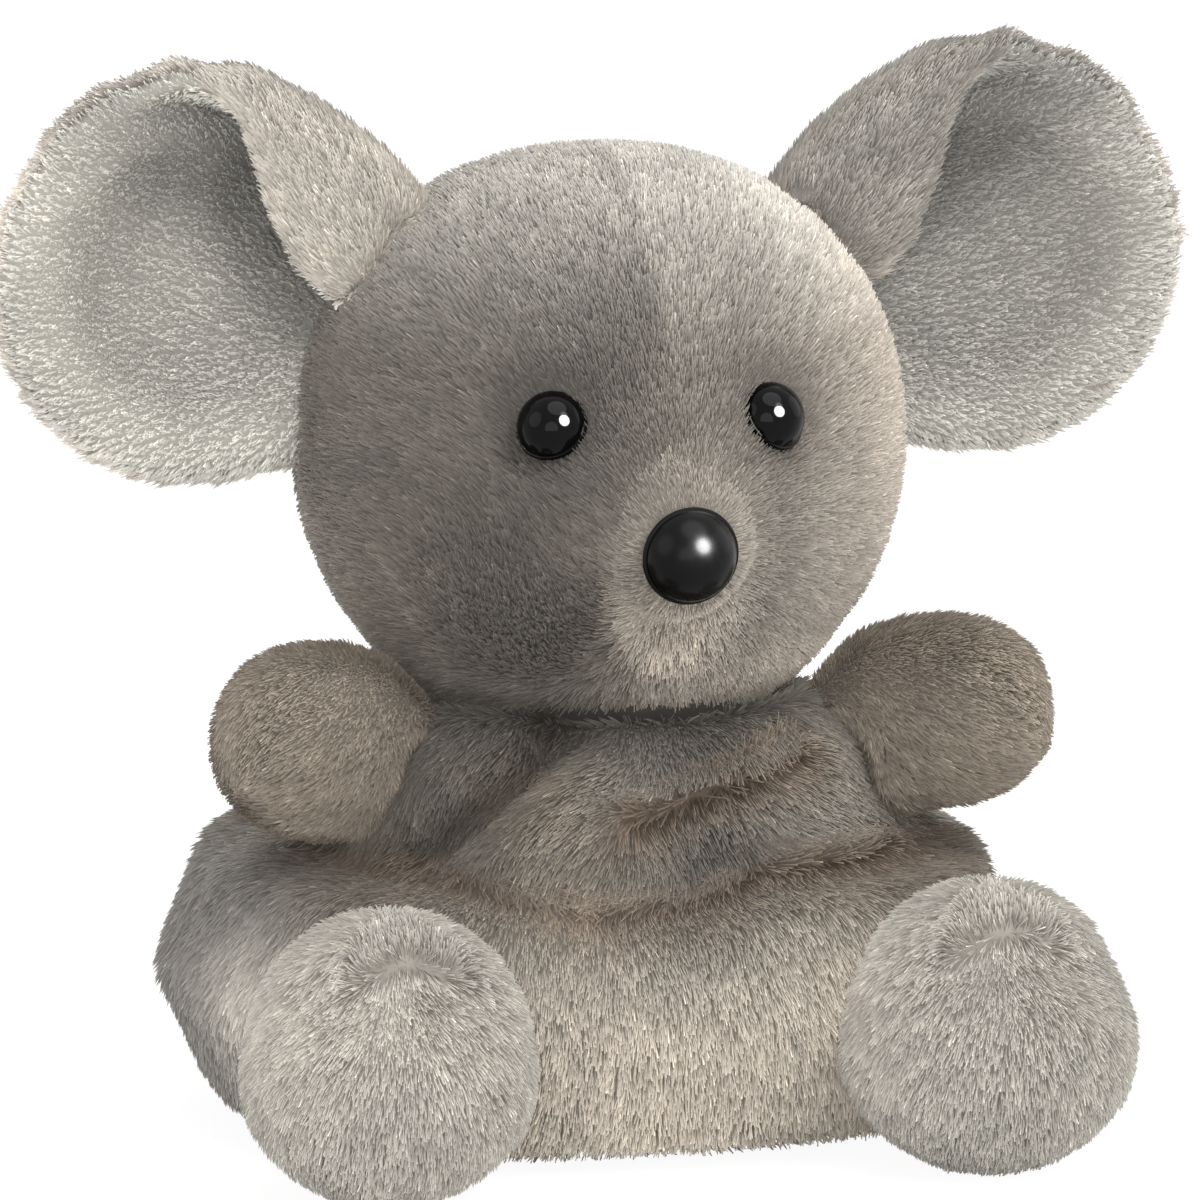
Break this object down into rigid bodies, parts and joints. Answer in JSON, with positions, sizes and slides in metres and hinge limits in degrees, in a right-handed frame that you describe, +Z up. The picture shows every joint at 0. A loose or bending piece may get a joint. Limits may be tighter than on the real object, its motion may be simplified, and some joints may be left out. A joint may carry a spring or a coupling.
{
  "type": "plush mouse",
  "caption": "Sitting plush mouse: round stuffed head with cupped, folded ears, stub arms and ball feet on a bean-filled body; head, ears, limbs and tail give at their seams.",
  "frame": {"origin": "on the flat underside of the base panel, straight below the middle of the head", "axes": "+Z up, the mouse faces -Y, and its left side is +X"},
  "size_m": [0.1346, 0.1163, 0.1187],
  "materials": {
    "head_fur": "grey long-pile plush",
    "body_fur": "lighter grey long-pile plush",
    "foot_fur": "pale grey long-pile plush",
    "lining_fur": "short curled plush",
    "fibre": "loose polyester fibre",
    "pellet_cloth": "plain woven bag of pellets",
    "thread": "turned-in hem and stitches",
    "eye_black": "high gloss",
    "nose_black": "satin",
    "washer_plastic": "moulded"
  },
  "bodies": {
    "body": {"belly_panel": "body_fur", "chest_panel": "body_fur", "back_panel": "body_fur", "base_panel": "body_fur", "body_stuffing": "fibre", "bean_pouch": "pellet_cloth"},
    "neck": {"neck_ring": "thread"},
    "head": {"head_left_panel": "head_fur", "head_right_panel": "head_fur", "head_back_panel": "head_fur", "head_stuffing": "fibre", "nose": "nose_black", "nose_washer": "washer_plastic", "eye_left": "eye_black", "eye_right": "eye_black", "eye_left_washer": "washer_plastic", "eye_right_washer": "washer_plastic"},
    "ear_left": {"ear_left_back": "body_fur", "ear_left_lining": "lining_fur"},
    "ear_right": {"ear_right_back": "body_fur", "ear_right_lining": "lining_fur"},
    "arm_left": {"arm_left_back": "body_fur", "arm_left_palm": "body_fur", "arm_left_stuffing": "fibre"},
    "arm_right": {"arm_right_back": "body_fur", "arm_right_palm": "body_fur", "arm_right_stuffing": "fibre"},
    "foot_left": {"foot_left_sole": "foot_fur", "foot_left_instep": "foot_fur", "foot_left_stuffing": "fibre"},
    "foot_right": {"foot_right_sole": "foot_fur", "foot_right_instep": "foot_fur", "foot_right_stuffing": "fibre"},
    "tail": {"tail": "body_fur"}
  },
  "joints": [
    {"name": "head_turn", "type": "hinge", "parent": "body", "child": "neck", "pos_m": [0, 0, 0.0755], "axis": [0, 0, 1], "range_deg": [-20, 20], "stiffness_Nm_per_rad": 0.1},
    {"name": "head_nod", "type": "hinge", "parent": "neck", "child": "head", "pos_m": [0, 0, 0.0755], "axis": [1, 0, 0], "range_deg": [-10, 10], "stiffness_Nm_per_rad": 0.1},
    {"name": "ear_left_fold", "type": "hinge", "parent": "head", "child": "ear_left", "pos_m": [0.02869, 0.00299, 0.0859], "axis": [-0.3472, 0.0003, 0.9378], "range_deg": [-15, 15], "stiffness_Nm_per_rad": 0.01},
    {"name": "ear_right_fold", "type": "hinge", "parent": "head", "child": "ear_right", "pos_m": [-0.02869, 0.00299, 0.0859], "axis": [-0.3472, -0.0003, -0.9378], "range_deg": [-15, 15], "stiffness_Nm_per_rad": 0.01},
    {"name": "arm_left_swing", "type": "hinge", "parent": "body", "child": "arm_left", "pos_m": [0.02685, -0.00771, 0.04439], "axis": [0, 0, 1], "range_deg": [-15, 15], "stiffness_Nm_per_rad": 0.015},
    {"name": "arm_right_swing", "type": "hinge", "parent": "body", "child": "arm_right", "pos_m": [-0.02685, -0.00771, 0.04439], "axis": [0, 0, -1], "range_deg": [-15, 15], "stiffness_Nm_per_rad": 0.015},
    {"name": "foot_left_lift", "type": "hinge", "parent": "body", "child": "foot_left", "pos_m": [0.0291, -0.03208, 0.0158], "axis": [-0.7826, -0.6225, 0], "range_deg": [-8, 8], "stiffness_Nm_per_rad": 0.02},
    {"name": "foot_right_lift", "type": "hinge", "parent": "body", "child": "foot_right", "pos_m": [-0.0291, -0.03208, 0.0158], "axis": [-0.7826, 0.6225, 0], "range_deg": [-8, 8], "stiffness_Nm_per_rad": 0.02},
    {"name": "tail_swing", "type": "hinge", "parent": "body", "child": "tail", "pos_m": [0, 0.04408, 0.0065], "axis": [0, 0, 1], "range_deg": [-20, 20], "stiffness_Nm_per_rad": 0.004}
  ]
}
